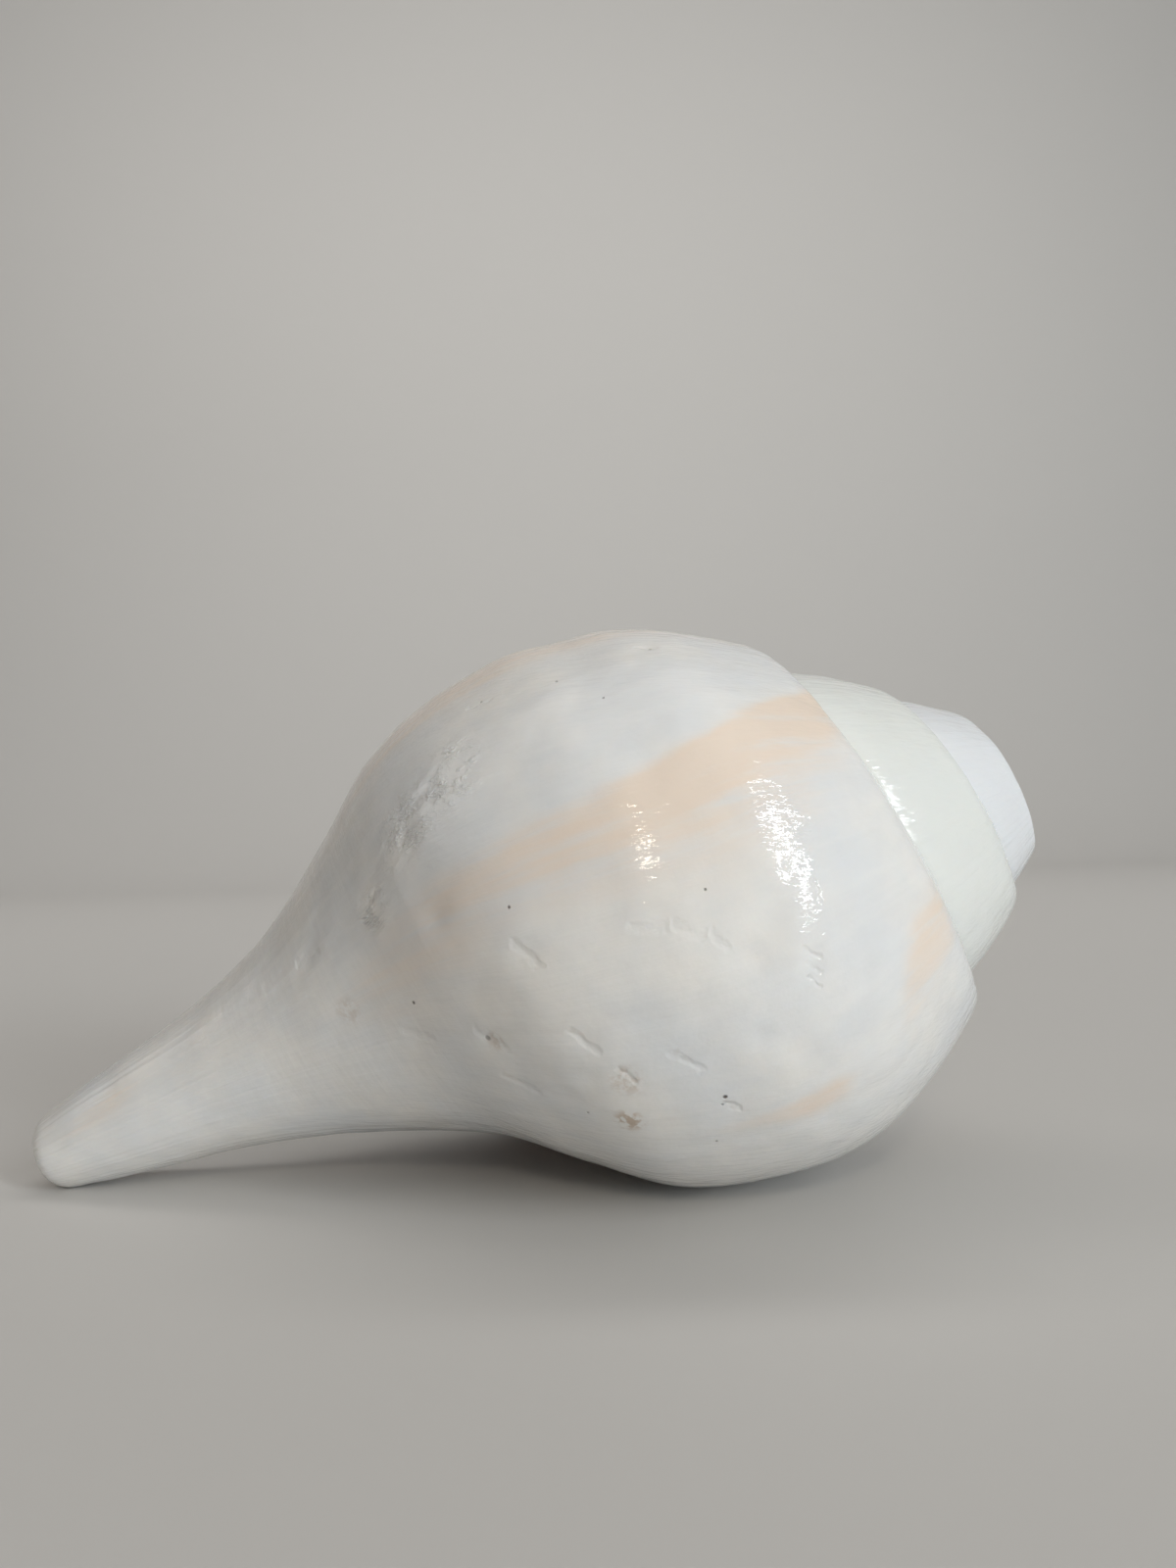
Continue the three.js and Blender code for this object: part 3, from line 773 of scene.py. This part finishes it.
def white(nodes, turns, cloud, fine_cloud, growth_lines):
    """Warm and cool mottling; the second whorl is a little greener and the third a little bluer."""
    colour = nodes.mix(nodes.ramp(cloud, 0.35, 0.65), COOL_WHITE, WARM_WHITE)
    colour = nodes.mix(nodes.ramp(fine_cloud, 0.3, 0.75, 0.0, 0.4), colour, GREY_CLOUD)
    colour = nodes.mix(nodes.ramp(growth_lines, 0.4, 0.8, 0.0, 0.35), colour, GROWTH_WHITE)
    colour = nodes.mix(nodes.ramp(turns, 1.0, 1.01, 0.0, 0.8), colour, SECOND_WHORL)
    return nodes.mix(nodes.ramp(turns, 2.0, 2.01, 0.0, 0.8), colour, THIRD_WHORL)


def stains_and_pits(nodes, place_mark, position, colour):
    """Adds the rusty specks and the dark pits to the colour, and returns it with the pits' mask."""
    speckle = nodes.ramp(nodes.noise(position, scale=750.0, roughness=0.6), 0.40, 0.60)
    for turns, along, radius, strength in STAINS:
        stain = nodes.near(position, place_mark(turns, along), 0.3 * radius * MM, radius * MM)
        stain = nodes.math("MULTIPLY", nodes.math("MULTIPLY", stain, speckle), strength)
        colour = nodes.mix(stain, colour, RUST)
    pits = None
    for turns, along, radius, darkness in PITS:
        pit = nodes.near(position, place_mark(turns, along), 0.35 * radius * MM, radius * MM)
        pit = nodes.math("MULTIPLY", pit, darkness)
        pits = pit if pits is None else nodes.math("MAXIMUM", pits, pit)
    return nodes.mix(pits, colour, PIT_COLOUR), pits


def fine_relief(nodes, place_mark, position, fine_cloud, growth_lines, pits):
    """Normals of the shell and of its polish: growth lines, crinkles, gouges, pits and fine scratches."""
    along = nodes.attribute("along")
    base_only = nodes.math("MULTIPLY", nodes.ramp(along, 0.46, 0.56), nodes.ramp(along, 0.76, 0.64))
    streaks = nodes.math("MULTIPLY", nodes.noise(nodes.on_shell(STREAK_CELLS), scale=1.0), base_only)
    normal = nodes.bump(growth_lines, GROWTH_RELIEF)
    normal = nodes.bump(fine_cloud, CLOUD_RELIEF, normal=normal)
    normal = nodes.bump(streaks, STREAK_RELIEF, normal=normal)
    normal = nodes.bump(crinkles(nodes, place_mark, position, fine_cloud), CRINKLE_RELIEF, normal=normal)
    normal = nodes.bump(gouges(nodes, place_mark, position), GOUGE_RELIEF, normal=normal)
    normal = nodes.bump(pits, PIT_RELIEF, normal=normal)
    stretched = nodes.add("ShaderNodeMapping", {
        "Vector": position, "Rotation": (0.2, 0.9, 0.3), "Scale": (0.25, 1.0, 2.0)})
    scratches = nodes.noise(stretched, scale=700.0, roughness=0.6)
    return normal, nodes.bump(scratches, SCRATCH_RELIEF, normal=normal)


def crinkles(nodes, place_mark, position, fine_cloud):
    """Height of the short crinkles in the unpolished patches."""
    cells = nodes.noise(nodes.on_shell(CRINKLE_CELLS), scale=1.0, detail=3.0, roughness=0.6)
    folds = nodes.math("ABSOLUTE", nodes.math("SUBTRACT", cells, 0.5))
    patches = None
    for turns, along, radius in ETCHED:
        centre = place_mark(turns, along)
        patch = nodes.near(position, centre, 0.4 * radius * MM, 1.2 * radius * MM)
        patches = patch if patches is None else nodes.math("MAXIMUM", patches, patch)
    patches = nodes.math("MULTIPLY", patches, nodes.ramp(fine_cloud, 0.40, 0.55))
    return nodes.math("MULTIPLY", folds, patches)


def gouges(nodes, place_mark, position):
    """Short worn scratches, bent and broken up by noise."""
    wander = nodes.add("ShaderNodeTexNoise", {"Vector": position, "Scale": 450.0, "Detail": 2.0}, "Color")
    wander = nodes.vector("SUBTRACT", wander, (0.5, 0.5, 0.5))
    wander = nodes.vector("MULTIPLY", wander, (GOUGE_WANDER, GOUGE_WANDER, GOUGE_WANDER))
    position = nodes.vector("ADD", position, wander)
    marks = None
    for turns, along, turns_length, along_length, width in GOUGES:
        start = place_mark(turns - turns_length / 2, along - along_length / 2)
        end = place_mark(turns + turns_length / 2, along + along_length / 2)
        mark = nodes.near_line(position, start, end, width * MM)
        marks = mark if marks is None else nodes.math("MAXIMUM", marks, mark)
    return marks


# ---- Stage ----
FLOOR_COLOUR = (0.60, 0.59, 0.575, 1)
FLOOR_HALF_WIDTH = 4.0
FLOOR_FRONT = -3.0
FLOOR_BACK = 1.2                # where the floor starts to curve up
SWEEP_RADIUS = 0.8
SWEEP_HEIGHT = 3.5
SWEEP_STEPS = 24
LIT_POINT = (0.01, 0, 0.045)    # the middle of the shell, which the soft lights face
ROOM_COLOUR = (0.60, 0.59, 0.57, 1)
ROOM_STRENGTH = 0.08
LENS = 27                       # mm on a 36 mm frame
FRAME = 36
CAMERA_PLACE = (15.6, -205.3, 57.2)   # mm
CAMERA_YAW = 1.27               # degrees, turned to the left of straight ahead
CAMERA_RISE = 2.37              # degrees, tilted up
CAMERA_ROLL = 1.79              # degrees, which lowers the right side of the frame
TURN_LENGTH = 300               # mm in one turn of the body, roughly
ALONG_LENGTH = 190              # mm in one unit of along on the body, roughly
OFF_THE_SKIN = 1e3              # mm added to the points of the hollow, so that no mark lands there


def sweep():
    """A pale floor that curves up into a backdrop."""
    profile = [(FLOOR_FRONT, 0.0), (FLOOR_BACK, 0.0)]
    for angle in np.linspace(0, math.pi / 2, SWEEP_STEPS)[1:]:
        back = FLOOR_BACK + SWEEP_RADIUS * math.sin(angle)
        profile.append((back, SWEEP_RADIUS - SWEEP_RADIUS * math.cos(angle)))
    profile.append((FLOOR_BACK + SWEEP_RADIUS, SWEEP_HEIGHT))
    points = [(x, y, z) for y, z in profile for x in (-FLOOR_HALF_WIDTH, FLOOR_HALF_WIDTH)]
    faces = [(2 * i, 2 * i + 1, 2 * i + 3, 2 * i + 2) for i in range(len(profile) - 1)]
    mesh = bpy.data.meshes.new("sweep")
    mesh.from_pydata(points, [], faces)
    mesh.shade_smooth()
    floor = bpy.data.objects.new("sweep", mesh)
    bpy.context.scene.collection.objects.link(floor)
    nodes = Nodes("pale_floor")
    nodes.put(nodes.shader.inputs["Base Color"], FLOOR_COLOUR)
    nodes.put(nodes.shader.inputs["Roughness"], 0.6)
    mesh.materials.append(nodes.material)


def soft_light(name, direction, distance, size, power, colour, reflected=True):
    """An area light facing the shell from a direction."""
    towards = Vector(direction).normalized()
    light = area_light(name, size, power, colour)
    light.location = Vector(LIT_POINT) + towards * distance
    light.rotation_euler = towards.to_track_quat("Z", "Y").to_euler()
    light.visible_glossy = reflected


def area_light(name, size, power, colour):
    data = bpy.data.lights.new(name, "AREA")
    data.shape = "RECTANGLE"
    data.size, data.size_y = size
    data.energy = power
    data.color = colour
    light = bpy.data.objects.new(name, data)
    bpy.context.scene.collection.objects.link(light)
    return light


def lights():
    """A tall window low on the right, the pale room about it, and a weak lamp above the camera."""
    soft_light("window", (0.665, -0.60, 0.40), distance=2.4, size=(0.18, 1.50), power=15,
               colour=(0.95, 0.98, 1.0))
    soft_light("room_right", (0.70, -0.70, 0.16), distance=2.6, size=(1.6, 1.4), power=35,
               colour=(0.92, 0.98, 1.0), reflected=False)
    soft_light("room_front", (0.20, -0.78, 0.60), distance=2.4, size=(1.6, 1.6), power=4,
               colour=(1.0, 0.95, 0.88), reflected=False)
    soft_light("ceiling", (0.05, -0.10, 1.0), distance=1.5, size=(1.6, 1.6), power=3.4,
               colour=(1.0, 0.96, 0.91))
    soft_light("wall_left", (-0.86, -0.10, 0.50), distance=2.4, size=(1.0, 1.0), power=2.5,
               colour=(1.0, 0.97, 0.93))
    soft_light("lamp", (-0.02, -0.88, 0.47), distance=1.0, size=(0.11, 0.10), power=1.0,
               colour=(1.0, 0.88, 0.72))
    backdrop = area_light("backdrop", size=(2.6, 0.8), power=19, colour=(1.0, 0.97, 0.93))
    backdrop.location = (-0.3, 0.4, 1.7)
    backdrop.rotation_euler = (math.radians(55), 0, 0)
    backdrop.visible_glossy = False
    world = bpy.data.worlds.new("room")
    world.use_nodes = True
    background = world.node_tree.nodes["Background"]
    background.inputs["Color"].default_value = ROOM_COLOUR
    background.inputs["Strength"].default_value = ROOM_STRENGTH
    bpy.context.scene.world = world
    bpy.context.scene.view_settings.view_transform = "Standard"


def camera():
    yaw, rise, roll = (math.radians(a) for a in (CAMERA_YAW, CAMERA_RISE, CAMERA_ROLL))
    right = Vector((math.cos(yaw), math.sin(yaw), 0))
    level = Vector((-math.sin(yaw), math.cos(yaw), 0))
    up = Vector((0, 0, 1))
    ahead = level * math.cos(rise) + up * math.sin(rise)
    above = up * math.cos(rise) - level * math.sin(rise)
    image_right = right * math.cos(roll) - above * math.sin(roll)
    image_up = right * math.sin(roll) + above * math.cos(roll)
    data = bpy.data.cameras.new("camera")
    data.lens = LENS
    data.sensor_width = FRAME
    data.clip_start = 0.01
    view = bpy.data.objects.new("camera", data)
    turn = Matrix((image_right, image_up, -ahead)).transposed().to_4x4()
    view.matrix_world = Matrix.Translation(Vector(CAMERA_PLACE) * MM) @ turn
    bpy.context.scene.collection.objects.link(view)
    bpy.context.scene.camera = view


def laid_point(obj):
    """Turns a place on the shell, in turns and along, into a position in the part's frame."""
    turns = np.empty(len(obj.data.vertices), np.float32)
    along = np.empty_like(turns)
    inside = np.empty_like(turns)
    for name, store in (("turns", turns), ("along", along), ("inside", inside)):
        obj.data.attributes[name].data.foreach_get("value", store)

    def find(at_turns, at_along):
        miss = np.hypot((turns - at_turns) * TURN_LENGTH, (along - at_along) * ALONG_LENGTH)
        miss += OFF_THE_SKIN * inside
        nearest = np.argsort(miss)[:4]
        weight = 1 / (miss[nearest] + 1e-3)
        points = np.array([obj.data.vertices[int(i)].co for i in nearest])
        return (points * weight[:, None]).sum(0) / weight.sum()

    return find


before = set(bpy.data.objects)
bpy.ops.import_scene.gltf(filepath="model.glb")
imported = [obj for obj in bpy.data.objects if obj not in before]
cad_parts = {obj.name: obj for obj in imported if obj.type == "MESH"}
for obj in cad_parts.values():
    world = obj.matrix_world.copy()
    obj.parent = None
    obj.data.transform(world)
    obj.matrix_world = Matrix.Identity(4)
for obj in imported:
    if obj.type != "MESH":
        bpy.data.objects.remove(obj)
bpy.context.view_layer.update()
surface = shell(*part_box("shell"))
surface.data.materials.clear()
surface.data.materials.append(porcelain(laid_point(surface)))
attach(surface, "root")
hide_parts("shell")
sweep()
lights()
camera()
